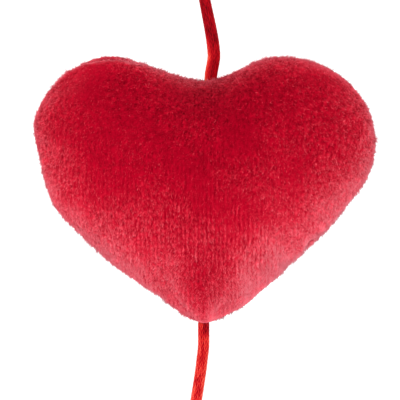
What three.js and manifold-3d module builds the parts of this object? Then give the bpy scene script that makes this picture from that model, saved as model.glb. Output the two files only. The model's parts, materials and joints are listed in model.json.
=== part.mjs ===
// A stuffed plush heart that hangs on a satin cord. Millimetres, +Z up, front facing -Y.
//
// One length of cord makes a hanging loop, runs down through the heart and ends in a knot below it.
// The heart is two plush panels sewn face to face along one seam line, turned out and stuffed: each
// panel ends in an allowance that is turned in, and the threads lie between the two allowances.
// The model's origin is the underside of the loop's top, where a hook carries it.

import * as THREE from 'three';
import { mergeVertices } from 'three/addons/utils/BufferGeometryUtils.js';
import Module from 'manifold-3d';

const manifold = await Module();
manifold.setup();

// ------------------------------------------------------------------ driving sizes

const heartWidth = 80;
const heartHeight = 62.3; // from the tip up to the tops of the lobes
const heartThickness = 32;
const notchDepth = 5.6; // from the tops of the lobes down to the notch
const fabricThickness = 1.5; // backing and pile
const allowanceWidth = 5; // the part of each panel that is turned in
const allowanceThickness = 0.8; // backing with its pile pressed flat
const threadDiameter = 0.5;
const cordDiameter = 2.7;
const loopKnotDiameter = 9;
const endKnotDiameter = 7.6;
const cutEndLength = 5; // cord left beyond each knot
const flexSpacing = 3.85; // between the two places where the cord bends at the tip
const neckLength = 4; // cord that turns in the notch
const flexRise = 0.9; // from the seam line out to where the cord starts to bend
const closingStart = 16; // along the seam from the tip to the hand-closed opening
const closingLength = 26;
const closingStitch = 3; // one stitch of the hand-closed opening
const closingSway = 0.65; // how far its thread swings to each side
const clearance = 0.3; // between neighbours that touch

// Free cord, as points [x, y, z] from the place where it bends at the heart. Chosen by hand.
const upperRoute = [
  [0, 0, 0], [0.2, 0, 1.4], [0.5, -0.1, 3.0], [0.7, -0.2, 4.6], [0.6, -0.4, 6.3], [0.35, -0.5, 8.4],
  [-0.1, -0.6, 11.0], [-0.7, -0.5, 14.0], [-1.3, -0.3, 17.0], [-1.85, -0.1, 20.0], [-2.3, 0.1, 23.0],
  [-2.6, 0.2, 26.0], [-2.75, 0.1, 29.0], [-2.8, 0, 32.0],
];
const lowerRoute = [
  [0, 0, 0], [-0.1, 0, -1.6], [-0.35, -0.1, -3.6], [-0.6, -0.25, -5.8], [-0.95, -0.4, -8.2],
  [-1.35, -0.5, -10.8], [-1.8, -0.5, -13.6], [-2.2, -0.4, -16.6], [-2.5, -0.3, -19.6],
  [-2.7, -0.15, -22.6], [-2.8, -0.05, -25.4], [-2.8, 0, -28.0],
];
// The loop's cord, from the centre of its knot: up the left leg, over the top and down the right.
const loopRoute = [
  [-1.5, 0, 4.9], [-1.6, 0, 6.6], [-2.0, 0.1, 9.4], [-2.8, 0.2, 12.6], [-3.7, 0.3, 16.0],
  [-4.5, 0.3, 19.4], [-5.1, 0.2, 22.8], [-5.3, 0.1, 26.2], [-4.8, 0, 29.4], [-3.3, 0, 32.2],
  [-1.1, 0, 34.0], [1.3, 0, 34.6], [3.8, 0, 34.0], [5.9, 0, 32.2], [7.2, 0, 29.5],
  [7.4, -0.1, 26.3], [6.9, -0.2, 22.9], [6.0, -0.3, 19.5], [4.9, -0.3, 16.2], [3.8, -0.2, 12.9],
  [2.7, -0.1, 9.6], [1.9, 0, 7.0], [1.5, 0, 4.9],
];

const outlineSteps = 60;
const panelRings = 7;
const cordSides = 8;
const threadSides = 6;

// ------------------------------------------------------------------ what follows from them

const side = heartWidth / 2;
const notchHeight = (heartHeight - notchDepth) / heartHeight;
const middle = new THREE.Vector2(0, 0.57 * heartHeight); // where the heart is thickest
const crownRadius = 0.65 * side; // the round contour near its crown
const cordRadius = cordDiameter / 2;
const threadRadius = threadDiameter / 2;
const allowanceFace = threadRadius + clearance; // half the space between the allowances
const allowanceBack = allowanceFace + allowanceThickness;
const channelRadius = cordRadius + clearance;
const seamThreadInset = threadRadius + 2 * clearance;

const notchX = 1.5; // where the cord passes the seam line, beside the middle of the notch
const tipX = -0.2;
const notchFlex = new THREE.Vector3(notchX, 0, notchHeight * heartHeight + flexRise);
const tipFlex = new THREE.Vector3(tipX, 0, -flexRise);
const tailFlex = tipFlex.clone().add(new THREE.Vector3(0, 0, -flexSpacing));
const flexReach = cordRadius + clearance; // from a bending place to the neighbour's face
const neckTop = notchFlex.z - flexReach;
const neckFoot = neckTop - neckLength;

const upperEnd = new THREE.Vector3(...upperRoute.at(-1)).add(notchFlex);
const knotFlex = upperEnd.clone();
const loopKnotRadius = loopKnotDiameter / 2;
const loopKnotCentre = knotFlex.clone().add(new THREE.Vector3(0, 0, flexReach + loopKnotRadius));
const endKnotRadius = endKnotDiameter / 2;
const lowerEnd = new THREE.Vector3(...lowerRoute.at(-1)).add(tailFlex);
const endKnotCentre = lowerEnd.clone().add(new THREE.Vector3(0, 0, -clearance - endKnotRadius));

// ------------------------------------------------------------------ solids

function toSolid(geometry) {
  const bare = geometry.clone();
  bare.deleteAttribute('normal');
  bare.deleteAttribute('uv');
  const merged = mergeVertices(bare, 1e-4);
  const mesh = new manifold.Mesh({
    numProp: 3,
    vertProperties: new Float32Array(merged.attributes.position.array),
    triVerts: new Uint32Array(merged.index.array),
  });
  return new manifold.Manifold(mesh);
}

function toGeometry(solid) {
  const mesh = solid.getMesh();
  const geometry = new THREE.BufferGeometry();
  geometry.setAttribute('position', new THREE.BufferAttribute(mesh.vertProperties, 3));
  geometry.setIndex(new THREE.BufferAttribute(mesh.triVerts, 1));
  geometry.computeVertexNormals();
  return geometry;
}

/** A closed skin over rings of [x, y, z] points, from one single-point ring to another. */
function skinOver(rings) {
  const points = rings.flat();
  const faces = [];
  let first = 0;
  for (let k = 0; k + 1 < rings.length; k++) {
    const [here, next] = [rings[k].length, rings[k + 1].length];
    const second = first + here;
    for (let i = 0; i < Math.max(here, next); i++) {
      const a = first + (i % here);
      const b = first + ((i + 1) % here);
      const c = second + (i % next);
      const d = second + ((i + 1) % next);
      if (next > 1) faces.push(a, c, d);
      if (here > 1) faces.push(a, next > 1 ? d : c, b);
    }
    first = second;
  }
  const geometry = new THREE.BufferGeometry();
  geometry.setAttribute('position', new THREE.Float32BufferAttribute(points.flat(), 3));
  geometry.setIndex(faces);
  geometry.computeVertexNormals();
  return geometry;
}

/** A round bar along a curve, with flat ends. */
function barAlong(curve, radius, sides, steps) {
  const corners = Array.from({ length: sides }, (_, i) => {
    const turn = (2 * Math.PI * (i + 0.5)) / sides;
    return new THREE.Vector2(radius * Math.cos(turn), radius * Math.sin(turn));
  });
  const section = new THREE.Shape(corners);
  return new THREE.ExtrudeGeometry(section, { steps, extrudePath: curve, bevelEnabled: false });
}

const curveThrough = (points) => new THREE.CatmullRomCurve3(points, false, 'centripetal');

/** A hand-chosen route, moved to the place that it starts from. */
function routeFrom(route, start) {
  return curveThrough(route.map((point) => new THREE.Vector3(...point).add(start)));
}

/** A ball on the end of a cord that bends there, so the end keeps its shape as it turns. */
function roundEnd(centre) {
  const ball = new THREE.SphereGeometry(cordRadius, cordSides, 6);
  return ball.translate(centre.x, centre.y, centre.z);
}

function upright(x, radius, low, high) {
  const rod = new THREE.CylinderGeometry(radius, radius, high - low, 2 * cordSides);
  return rod.rotateX(Math.PI / 2).translate(x, 0, (low + high) / 2);
}

// ------------------------------------------------------------------ the heart's outline

/** The seam line seen from the front, anticlockwise from the tip, x and z as THREE.Path's x and y. */
function seamLine() {
  const line = new THREE.Path();
  const bend = (ax, az, bx, bz, x, z) => line.bezierCurveTo(
    ax * side, az * heartHeight, bx * side, bz * heartHeight, x * side, z * heartHeight,
  );
  line.moveTo(0, 0);
  bend(0.21, 0.026, 0.58, 0.25, 0.845, 0.45); // tip to right flank
  bend(0.91, 0.50, 1.0, 0.585, 1.0, 0.675); // to the right side
  bend(1.0, 0.855, 0.75, 1.0, 0.455, 1.0); // over the right shoulder to the lobe's top
  bend(0.26, 1.0, 0.17, notchHeight, -0.01, notchHeight); // down into the notch
  bend(-0.17, notchHeight, -0.39, 1.0, -0.555, 1.0); // up to the left lobe's top
  bend(-0.755, 1.0, -1.0, 0.857, -1.0, 0.73); // over the left shoulder
  bend(-1.0, 0.67, -0.915, 0.47, -0.875, 0.433); // down to the left flank
  bend(-0.68, 0.275, -0.105, 0.01, 0, 0); // and back to the tip
  return line;
}

const seam = seamLine();
const seamLength = seam.getLength();

/** Points along the seam line, moved in from it by a distance, with no point at the tip twice. */
function outline(inset) {
  const points = seam.getSpacedPoints(outlineSteps).slice(0, outlineSteps);
  return points.map((point, i) => {
    const along = points[(i + 1) % outlineSteps].clone().sub(points.at(i - 1)).normalize();
    return new THREE.Vector2(point.x - along.y * inset, point.y + along.x * inset);
  });
}

/** One contour of the pillow: share 1 is the outline, and towards 0 it shrinks and rounds off. */
function contour(points, share, y) {
  return points.map((point) => {
    const out = point.clone().sub(middle);
    const round = out.clone().setLength(crownRadius);
    out.multiplyScalar(share).addScaledVector(round, 1 - share).multiplyScalar(share);
    return [middle.x + out.x, y, middle.y + out.y];
  });
}

/**
 * The contours of half a pillow from its crown down to its rim, on the side that facing says.
 * None of them comes nearer to the seam plane than lowest.
 */
function dome(points, facing, crown, rim, lowest = rim) {
  const rings = [[[middle.x, facing * crown, middle.y]]];
  for (let k = 1; k <= panelRings; k++) {
    const turn = (Math.PI / 2) * (k / panelRings);
    const height = Math.max(lowest, rim + (crown - rim) * Math.cos(turn) ** 0.9);
    rings.push(contour(points, Math.sin(turn) ** 0.95, facing * height));
  }
  return rings;
}

const cordInHeart = curveThrough([
  new THREE.Vector3(notchX, 0, notchFlex.z + flexReach),
  new THREE.Vector3(notchX, 0, neckFoot),
  new THREE.Vector3(notchX - 0.3, 0, 0.72 * heartHeight),
  new THREE.Vector3(0.6, 0, middle.y),
  new THREE.Vector3(0, 0, 0.25 * heartHeight),
  new THREE.Vector3(tipX, 0, 0.08 * heartHeight),
  new THREE.Vector3(tipX, 0, tipFlex.z - flexReach),
]);
const cordChannel = toSolid(barAlong(cordInHeart, channelRadius / Math.cos(Math.PI / 12), 12, 24));

// ------------------------------------------------------------------ the tacks on the cord

const tackRingRadius = channelRadius + threadRadius;
const tackHeights = {
  notch: (neckTop + neckFoot) / 2,
  tip: allowanceWidth / 2 + clearance,
};

function tackPocket(x, z) {
  const reach = tackRingRadius + threadRadius + clearance;
  const half = threadRadius + clearance;
  return toSolid(upright(x, reach, z - half, z + half));
}

const openForCord = cordChannel
  .add(tackPocket(notchX, tackHeights.notch))
  .add(tackPocket(tipX, tackHeights.tip));

function tack(x, z) {
  const ring = new THREE.TorusGeometry(tackRingRadius, threadRadius, threadSides, 2 * cordSides);
  return ring.translate(x, 0, z);
}

// ------------------------------------------------------------------ panels and stuffing

function panel(facing) {
  const outer = dome(outline(0), facing, heartThickness / 2, allowanceFace);
  const allowance = outline(allowanceWidth);
  const inner = dome(
    outline(fabricThickness), facing, heartThickness / 2 - fabricThickness, allowanceBack,
  );
  const rings = [
    ...outer,
    contour(allowance, 1, facing * allowanceFace),
    contour(allowance, 1, facing * allowanceBack),
    ...inner.reverse(),
  ];
  const solid = toSolid(skinOver(facing < 0 ? rings : rings.reverse()));
  return toGeometry(solid.subtract(openForCord));
}

/** The space round the cord's way in or out that the crowded allowances keep free of stuffing. */
function unstuffed(x, low, high) {
  return toSolid(upright(x, tackRingRadius + threadDiameter + allowanceThickness, low, high));
}

function stuffing() {
  const gap = fabricThickness + clearance;
  const full = outline(gap);
  const waist = outline(allowanceWidth + clearance);
  const waistHeight = allowanceBack + clearance;
  const crown = heartThickness / 2 - gap;
  const half = (facing) => dome(full, facing, crown, allowanceBack, waistHeight);
  const rings = [
    ...half(-1),
    contour(waist, 1, -waistHeight),
    contour(waist, 1, waistHeight),
    ...half(1).reverse(),
  ];
  const crowded = allowanceWidth + gap;
  const body = toSolid(skinOver(rings))
    .subtract(openForCord)
    .subtract(unstuffed(tipX, tipFlex.z, crowded))
    .subtract(unstuffed(notchX, notchFlex.z - flexRise - crowded, notchFlex.z));
  return toGeometry(body);
}

// ------------------------------------------------------------------ threads in the seam

/** A place on the seam, that far along it from the tip and that far in from it. */
function inSeam(distance, inset) {
  const share = THREE.MathUtils.euclideanModulo(distance / seamLength, 1);
  const point = seam.getPointAt(share);
  const along = seam.getTangentAt(share);
  return new THREE.Vector3(point.x - along.y * inset, 0, point.y + along.x * inset);
}

/** How far along the seam the cord passes through the notch. */
function notchDistance() {
  const steps = 2000;
  const cord = new THREE.Vector2(notchX, notchHeight * heartHeight);
  const gaps = seam.getSpacedPoints(steps).map((point) => point.distanceTo(cord));
  return (seamLength * gaps.indexOf(Math.min(...gaps))) / steps;
}

const threadStep = 4;

function seamThread(start, end) {
  const count = Math.ceil((end - start) / threadStep);
  const points = Array.from({ length: count + 1 }, (_, i) =>
    inSeam(start + ((end - start) * i) / count, seamThreadInset));
  return barAlong(curveThrough(points), threadRadius, threadSides, count);
}

function closingThread() {
  const count = 2 * Math.round(closingLength / closingStitch);
  const points = Array.from({ length: count + 1 }, (_, i) =>
    inSeam(
      closingStart + (closingLength * i) / count,
      seamThreadInset + closingSway + (i % 2 ? closingSway : -closingSway),
    ));
  return barAlong(curveThrough(points), threadRadius, threadSides, 2 * count);
}

// ------------------------------------------------------------------ cord and knots

function upperCord() {
  const bar = barAlong(routeFrom(upperRoute, notchFlex), cordRadius, cordSides, 12);
  return toGeometry(toSolid(bar).add(toSolid(roundEnd(notchFlex))).add(toSolid(roundEnd(upperEnd))));
}

function lowerCord() {
  const bar = barAlong(routeFrom(lowerRoute, tailFlex), cordRadius, cordSides, 11);
  return toGeometry(toSolid(bar).add(toSolid(roundEnd(tailFlex))));
}

function tipCord() {
  const bar = upright(tipX, cordRadius, tailFlex.z + flexReach, tipFlex.z);
  return toGeometry(toSolid(bar).add(toSolid(roundEnd(tipFlex))));
}

function innerCord() {
  const points = [
    new THREE.Vector3(notchX, 0, neckFoot - clearance),
    ...cordInHeart.points.slice(2, -1),
    new THREE.Vector3(tipX, 0, tipFlex.z + flexReach),
  ];
  return barAlong(curveThrough(points), cordRadius, cordSides, 12);
}

/** A knot pulled tight into a ball, with the cut end of the cord standing out of it. */
function knot(centre, radius, lean) {
  const ball = new THREE.SphereGeometry(radius, 2 * cordSides, cordSides);
  const end = upright(0, cordRadius, -radius - cutEndLength, -radius / 2).rotateY(lean);
  const solid = toSolid(ball).add(toSolid(end));
  return toGeometry(solid).translate(centre.x, centre.y, centre.z);
}

// ------------------------------------------------------------------ the object

const plush = { color: 0xb0122f, roughness: 0.95, metalness: 0 };
const satin = { color: 0xc4202c, roughness: 0.4, metalness: 0 };
const thread = { color: 0x960c22, roughness: 0.6, metalness: 0 };
const fill = { color: 0xf1efe8, roughness: 1, metalness: 0 };

const heart = new THREE.Group();

function place(name, geometry, look) {
  const mesh = new THREE.Mesh(geometry, new THREE.MeshStandardMaterial(look));
  mesh.name = name;
  heart.add(mesh);
}

const besideCord = channelRadius + 2 * clearance + threadDiameter;
const passNotch = notchDistance();
const closingEnd = closingStart + closingLength;
const threadGap = threadRadius + clearance;
const loopTail = -0.75; // the loop knot's cut end leans out to +X
const endTail = 0;

place('front_panel', panel(-1), plush);
place('back_panel', panel(1), plush);
place('stuffing', stuffing(), fill);
place('right_seam_thread', seamThread(closingEnd + threadGap, passNotch - besideCord), thread);
place('left_seam_thread', seamThread(passNotch + besideCord, seamLength - besideCord), thread);
place('tip_seam_thread', seamThread(besideCord, closingStart - threadGap), thread);
place('closing_thread', closingThread(), thread);
place('notch_tack', tack(notchX, tackHeights.notch), thread);
place('tip_tack', tack(tipX, tackHeights.tip), thread);
place('inner_cord', innerCord(), satin);
place('notch_cord', upright(notchX, cordRadius, neckFoot, neckTop), satin);
place('tip_cord', tipCord(), satin);
place('upper_cord', upperCord(), satin);
place('lower_cord', lowerCord(), satin);
place('loop_knot', knot(loopKnotCentre, loopKnotRadius, loopTail), satin);
place('end_knot', knot(endKnotCentre, endKnotRadius, endTail), satin);
place('hanging_loop', barAlong(routeFrom(loopRoute, loopKnotCentre), cordRadius, cordSides, 24), satin);

// The loop's highest centre point comes to a cord's radius above the origin.
const loopTop = loopKnotCentre.z + Math.max(...loopRoute.map((point) => point[2]));
heart.position.set(0, 0, cordRadius - loopTop);

export default heart;
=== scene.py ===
"""A stuffed plush heart on a satin cord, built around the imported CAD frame."""

import json
import math

import bpy
import numpy as np
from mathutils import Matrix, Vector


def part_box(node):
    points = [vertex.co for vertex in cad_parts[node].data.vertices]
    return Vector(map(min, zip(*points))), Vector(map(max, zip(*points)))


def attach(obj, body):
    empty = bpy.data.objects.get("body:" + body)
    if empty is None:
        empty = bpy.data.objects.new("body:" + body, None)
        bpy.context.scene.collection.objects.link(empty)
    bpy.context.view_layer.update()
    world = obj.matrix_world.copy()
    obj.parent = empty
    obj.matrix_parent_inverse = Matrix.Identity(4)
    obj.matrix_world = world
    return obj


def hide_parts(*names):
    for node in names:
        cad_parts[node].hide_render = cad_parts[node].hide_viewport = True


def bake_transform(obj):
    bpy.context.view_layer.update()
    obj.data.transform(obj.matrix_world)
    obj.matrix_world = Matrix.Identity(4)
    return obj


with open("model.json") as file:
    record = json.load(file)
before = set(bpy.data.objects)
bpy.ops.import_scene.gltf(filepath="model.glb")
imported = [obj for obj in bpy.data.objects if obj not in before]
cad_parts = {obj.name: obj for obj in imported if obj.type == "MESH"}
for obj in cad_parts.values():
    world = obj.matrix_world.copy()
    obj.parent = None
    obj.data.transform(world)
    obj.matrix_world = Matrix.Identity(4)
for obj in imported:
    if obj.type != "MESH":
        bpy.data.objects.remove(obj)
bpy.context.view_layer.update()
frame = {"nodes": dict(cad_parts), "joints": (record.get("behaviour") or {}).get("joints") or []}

MM = 0.001
SEED = 7

# ---- places taken from the frame

JOINTS = {j["name"]: np.array(j["pos_m"]) for j in frame["joints"]}
NOTCH = JOINTS["heart_lean"]
TIP = JOINTS["tail_front"]
TAIL = JOINTS["tail_side"]
STRAND_TOP = JOINTS["swing_front"]
LOOP_KNOT = JOINTS["swing_side"]


def low_high(node):
    """The low and the high corner of a node's box."""
    return [np.array(corner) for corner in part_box(node)]


PANEL_LOW, PANEL_HIGH = low_high("front_panel")
SEAM_HALF_GAP = -PANEL_HIGH[1]
HALF_THICKNESS = -PANEL_LOW[1]
HEART_LOW = TIP[2] + 0.9 * MM  # where the seam line is lowest
HEART_HEIGHT = PANEL_HIGH[2] - HEART_LOW
HALF_WIDTH = PANEL_HIGH[0]
MIDDLE = np.array([0.0, HEART_LOW + 0.57 * HEART_HEIGHT])
CROWN_RADIUS = 0.65 * HALF_WIDTH
CORD_RADIUS = (low_high("notch_cord")[1] - low_high("notch_cord")[0])[0] / 2

# Cord routes from the design: the upper one from the notch, the lower one from tail_side, the loop from
# its knot.
UPPER_ROUTE = MM * np.array([
    [0, 0, 0], [0.2, 0, 1.4], [0.5, -0.1, 3.0], [0.7, -0.2, 4.6], [0.6, -0.4, 6.3], [0.35, -0.5, 8.4],
    [-0.1, -0.6, 11.0], [-0.7, -0.5, 14.0], [-1.3, -0.3, 17.0], [-1.85, -0.1, 20.0], [-2.3, 0.1, 23.0],
    [-2.6, 0.2, 26.0], [-2.75, 0.1, 29.0], [-2.8, 0, 32.0],
])
LOWER_ROUTE = MM * np.array([
    [0, 0, 0], [-0.1, 0, -1.6], [-0.35, -0.1, -3.6], [-0.6, -0.25, -5.8], [-0.95, -0.4, -8.2],
    [-1.35, -0.5, -10.8], [-1.8, -0.5, -13.6], [-2.2, -0.4, -16.6], [-2.5, -0.3, -19.6],
    [-2.7, -0.15, -22.6], [-2.8, -0.05, -25.4], [-2.8, 0, -28.0],
])
LOOP_ROUTE = MM * np.array([
    [-1.5, 0, 4.9], [-1.6, 0, 6.6], [-2.0, 0.1, 9.4], [-2.8, 0.2, 12.6], [-3.7, 0.3, 16.0],
    [-4.5, 0.3, 19.4], [-5.1, 0.2, 22.8], [-5.3, 0.1, 26.2], [-4.8, 0, 29.4], [-3.3, 0, 32.2],
    [-1.1, 0, 34.0], [1.3, 0, 34.6], [3.8, 0, 34.0], [5.9, 0, 32.2], [7.2, 0, 29.5],
    [7.4, -0.1, 26.3], [6.9, -0.2, 22.9], [6.0, -0.3, 19.5], [4.9, -0.3, 16.2], [3.8, -0.2, 12.9],
    [2.7, -0.1, 9.6], [1.9, 0, 7.0], [1.5, 0, 4.9],
])

# ---- camera

VIEW_WIDTH = 93.3 * MM  # what the picture spans at the seam plane
VIEW_CENTRE = np.array([-1.05 * MM, 0.0, HEART_LOW + 28.7 * MM])
VIEW_DISTANCE = 0.75

camera = bpy.data.objects.new("camera", bpy.data.cameras.new("camera"))
bpy.context.scene.collection.objects.link(camera)
camera.data.sensor_width = 36
camera.data.lens = 36 * VIEW_DISTANCE / VIEW_WIDTH
camera.data.clip_start, camera.data.clip_end = 0.01, 50
camera.location = VIEW_CENTRE - np.array([0, VIEW_DISTANCE, 0])
camera.rotation_euler = (math.pi / 2, 0, 0)
bpy.context.scene.camera = camera
bpy.context.scene.view_settings.view_transform = "Standard"

# ---- small tools


def smooth(x, low, high):
    t = np.clip((x - low) / (high - low), 0, 1)
    return t * t * (3 - 2 * t)


def unit(vectors):
    return vectors / np.linalg.norm(vectors, axis=-1, keepdims=True)


GRADIENTS = unit(np.random.default_rng(SEED).normal(size=(256, 3)))
SHUFFLE = np.random.default_rng(SEED + 1).permutation(256)


def noise(points, size, seed=0):
    """Smooth gradient noise, about -1 to 1, with lumps of that size (one number, or three)."""
    q = points / np.asarray(size) + 17.3 * seed
    cell = np.floor(q).astype(int)
    f = q - cell
    u = f * f * f * (f * (f * 6 - 15) + 10)
    total = np.zeros(len(q))
    for corner in np.ndindex(2, 2, 2):
        c = cell + corner
        h = SHUFFLE[(SHUFFLE[(SHUFFLE[c[:, 0] & 255] + c[:, 1]) & 255] + c[:, 2]) & 255]
        weight = np.prod(np.where(corner, u, 1 - u), axis=1)
        total += weight * np.einsum("ij,ij->i", GRADIENTS[h], f - corner)
    return 1.6 * total


def mesh_object(name, vertices, quads, triangles=(), attributes=None):
    """A smooth-shaded object of those faces, with a float for each vertex in each attribute."""
    quads, triangles = np.reshape(quads, (-1, 4)), np.reshape(triangles, (-1, 3))
    corners = np.concatenate([quads.ravel(), triangles.ravel()])
    starts = np.concatenate([4 * np.arange(len(quads)), 4 * len(quads) + 3 * np.arange(len(triangles))])
    mesh = bpy.data.meshes.new(name)
    mesh.vertices.add(len(vertices))
    mesh.vertices.foreach_set("co", np.asarray(vertices, np.float32).ravel())
    mesh.loops.add(len(corners))
    mesh.loops.foreach_set("vertex_index", corners.astype(np.int32))
    mesh.polygons.add(len(starts))
    mesh.polygons.foreach_set("loop_start", starts.astype(np.int32))
    mesh.update(calc_edges=True)
    mesh.validate()
    mesh.shade_smooth()
    for key, values in (attributes or {}).items():
        mesh.attributes.new(key, "FLOAT", "POINT").data.foreach_set("value", np.asarray(values, np.float32))
    piece = bpy.data.objects.new(name, mesh)
    bpy.context.scene.collection.objects.link(piece)
    return piece


def through(points, step):
    """A smooth centripetal curve through points, sampled about every step."""
    p = np.vstack([2 * points[0] - points[1], points, 2 * points[-1] - points[-2]])
    line = []
    for a, b, c, d in zip(p[:-3], p[1:-2], p[2:-1], p[3:]):
        t1 = np.linalg.norm(b - a) ** 0.5
        t2 = t1 + np.linalg.norm(c - b) ** 0.5
        t3 = t2 + np.linalg.norm(d - c) ** 0.5
        count = max(2, round(np.linalg.norm(c - b) / step))
        t = np.linspace(t1, t2, count, endpoint=False)[:, None]
        a1 = (t1 - t) / t1 * a + t / t1 * b
        a2 = (t2 - t) / (t2 - t1) * b + (t - t1) / (t2 - t1) * c
        a3 = (t3 - t) / (t3 - t2) * c + (t - t2) / (t3 - t2) * d
        b1 = (t2 - t) / t2 * a1 + t / t2 * a2
        b2 = (t3 - t) / (t3 - t1) * a2 + (t - t1) / (t3 - t1) * a3
        line.append((t2 - t) / (t2 - t1) * b1 + (t - t1) / (t2 - t1) * b2)
    return np.vstack([*line, points[-1]])


def run_along(line):
    """The distance along a line at each of its points."""
    return np.concatenate([[0], np.cumsum(np.linalg.norm(np.diff(line, axis=0), axis=1))])


def sides_of(line):
    """Two directions across the line at each point, which turn no more than the line does."""
    along = unit(np.gradient(line, axis=0))
    first = np.cross(along[0], [0, 1, 0])
    across = [first / np.linalg.norm(first)]
    for t in along[1:]:
        side = across[-1] - t * (across[-1] @ t)
        across.append(side / np.linalg.norm(side))
    across = np.array(across)
    return across, np.cross(along, across)


# ---- materials


def principled(name, **sockets):
    material = bpy.data.materials.new(name)
    material.use_nodes = True
    shader = material.node_tree.nodes["Principled BSDF"]
    for key, value in sockets.items():
        shader.inputs[key.replace("_", " ")].default_value = value
    return material, material.node_tree, shader


def srgb(r, g, b):
    linear = [(c / 255 / 12.92 if c <= 10.3 else ((c / 255 + 0.055) / 1.055) ** 2.4) for c in (r, g, b)]
    return (*linear, 1.0)


def node(tree, kind, **settings):
    made = tree.nodes.new("ShaderNode" + kind)
    for key, value in settings.items():
        if key.startswith("in_"):
            made.inputs[key[3:].replace("_", " ")].default_value = value
        else:
            setattr(made, key, value)
    return made


def attribute(tree, name):
    return node(tree, "Attribute", attribute_name=name).outputs["Fac"]


def object_noise(tree, **settings):
    """Noise over the piece's own coordinates."""
    made = node(tree, "TexNoise", **settings)
    tree.links.new(node(tree, "TexCoord").outputs["Object"], made.inputs["Vector"])
    return made.outputs["Fac"]


def calculated(tree, operation, *values):
    """A Math node's result from its values, each a number or a socket."""
    made = node(tree, "Math", operation=operation)
    for socket, value in zip(made.inputs, values):
        if isinstance(value, float):
            socket.default_value = value
        else:
            tree.links.new(value, socket)
    return made.outputs[0]


def bumped(tree, shader, height, strength, distance):
    bump = node(tree, "Bump", in_Strength=strength, in_Distance=distance)
    tree.links.new(height, bump.inputs["Height"])
    tree.links.new(bump.outputs["Normal"], shader.inputs["Normal"])


def mixed(tree, factor, a, b):
    """A colour between a and b, each a colour or a socket."""
    mix = node(tree, "Mix", data_type="RGBA")
    for socket, value in ((0, factor), (6, a), (7, b)):
        if isinstance(value, (tuple, float)):
            mix.inputs[socket].default_value = value
        else:
            tree.links.new(value, mix.inputs[socket])
    return mix.outputs[2]


def ramp(tree, factor, stops):
    """A colour ramp over factor through (position, colour) stops."""
    made = node(tree, "ValToRGB")
    tree.links.new(factor, made.inputs["Fac"])
    elements = made.color_ramp.elements
    while len(elements) < len(stops):
        elements.new(0.5)
    for element, (position, colour) in zip(elements, stops):
        element.position, element.color = position, colour
    return made.outputs["Color"]


def plush_material():
    """Crimson pile, darker where it is crushed, with painted shade between tufts, painted light on their
    tips and a painted sheen toward its rims.
    """
    material, tree, shader = principled(
        "plush", Roughness=0.9, Sheen_Weight=0.06, Sheen_Roughness=0.4,
        Sheen_Tint=srgb(255, 140, 160), Specular_IOR_Level=0.02,
    )
    grain = object_noise(tree, in_Scale=5200.0, in_Detail=3.0, in_Roughness=0.65)
    tone = calculated(tree, "MULTIPLY_ADD", grain, 0.24, attribute(tree, "tone"))
    facing = node(tree, "LayerWeight", in_Blend=0.5).outputs["Facing"]
    painted_sheen = calculated(tree, "MULTIPLY", calculated(tree, "POWER", facing, 2.4), tone)  # painted sheen: paler pink where the view grazes the pile
    colour = ramp(tree, tone, [
        (0.00, srgb(110, 0, 14)), (0.22, srgb(150, 0, 26)), (0.40, srgb(176, 4, 34)),
        (0.58, srgb(208, 30, 54)), (0.78, srgb(244, 76, 94)), (1.00, srgb(255, 124, 138)),
    ])
    tree.links.new(mixed(tree, painted_sheen, colour, srgb(246, 138, 150)), shader.inputs["Base Color"])
    bumped(tree, shader, grain, 0.4, 0.1 * MM)
    return material


def satin_material():
    """Glossy filaments laid in a fine braid, from deep crimson in painted shade to orange red in painted
    light.
    """
    material, tree, shader = principled(
        "satin_cord", Roughness=0.45, Sheen_Weight=0.02, Sheen_Roughness=0.4,
        Sheen_Tint=srgb(255, 150, 130), Specular_IOR_Level=0.03,
    )
    streak = object_noise(tree, in_Scale=1500.0, in_Detail=2.0)
    tone = calculated(tree, "MULTIPLY_ADD", streak, 0.3, attribute(tree, "tone"))
    colour = ramp(tree, tone, [
        (0.00, srgb(90, 0, 6)), (0.25, srgb(146, 0, 14)), (0.45, srgb(182, 10, 24)),
        (0.65, srgb(212, 40, 38)), (0.85, srgb(234, 70, 52)), (1.00, srgb(250, 124, 98)),
    ])
    tree.links.new(colour, shader.inputs["Base Color"])
    bumped(tree, shader, streak, 0.25, 0.06 * MM)
    return material


def plain_fibre_material(name, colour, dark, scale):
    """Matt fibres between two colours, with grain of that scale."""
    material, tree, shader = principled(name, Roughness=0.7, Sheen_Weight=0.3)
    grain = object_noise(tree, in_Scale=scale, in_Detail=4.0)
    tree.links.new(mixed(tree, grain, dark, colour), shader.inputs["Base Color"])
    return material


MATERIALS = {  # by slot
    "plush": plush_material(),
    "satin_cord": satin_material(),
    "sewing_thread": plain_fibre_material("sewing_thread", srgb(176, 20, 44), srgb(96, 4, 20), 6000.0),
    "fibre_fill": plain_fibre_material("fibre_fill", srgb(244, 242, 236), srgb(206, 203, 196), 800.0),
}


def dress(piece, slot, body=None, stands_for=None):
    """Gives a piece its material and, if they are named, its body and the CAD node it replaces."""
    piece.data.materials.append(MATERIALS[slot])
    if body:
        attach(piece, body)
    if stands_for:
        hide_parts(stands_for)


# ---- how a cord is made

CORD_STEP = 0.13 * MM
# Columns of vees round a cord, length of one vee, depth of the relief and sides of the tube.
SATIN_BRAID = (8, 1.25 * MM, 0.07 * MM, 64)
THREAD_TWIST = (2, 0.9 * MM, 0.05 * MM, 12)
# How strongly a cord's braid is painted: light on its strands, shade in the valleys between them.
BRAID_CONTRAST = 0.42


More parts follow.
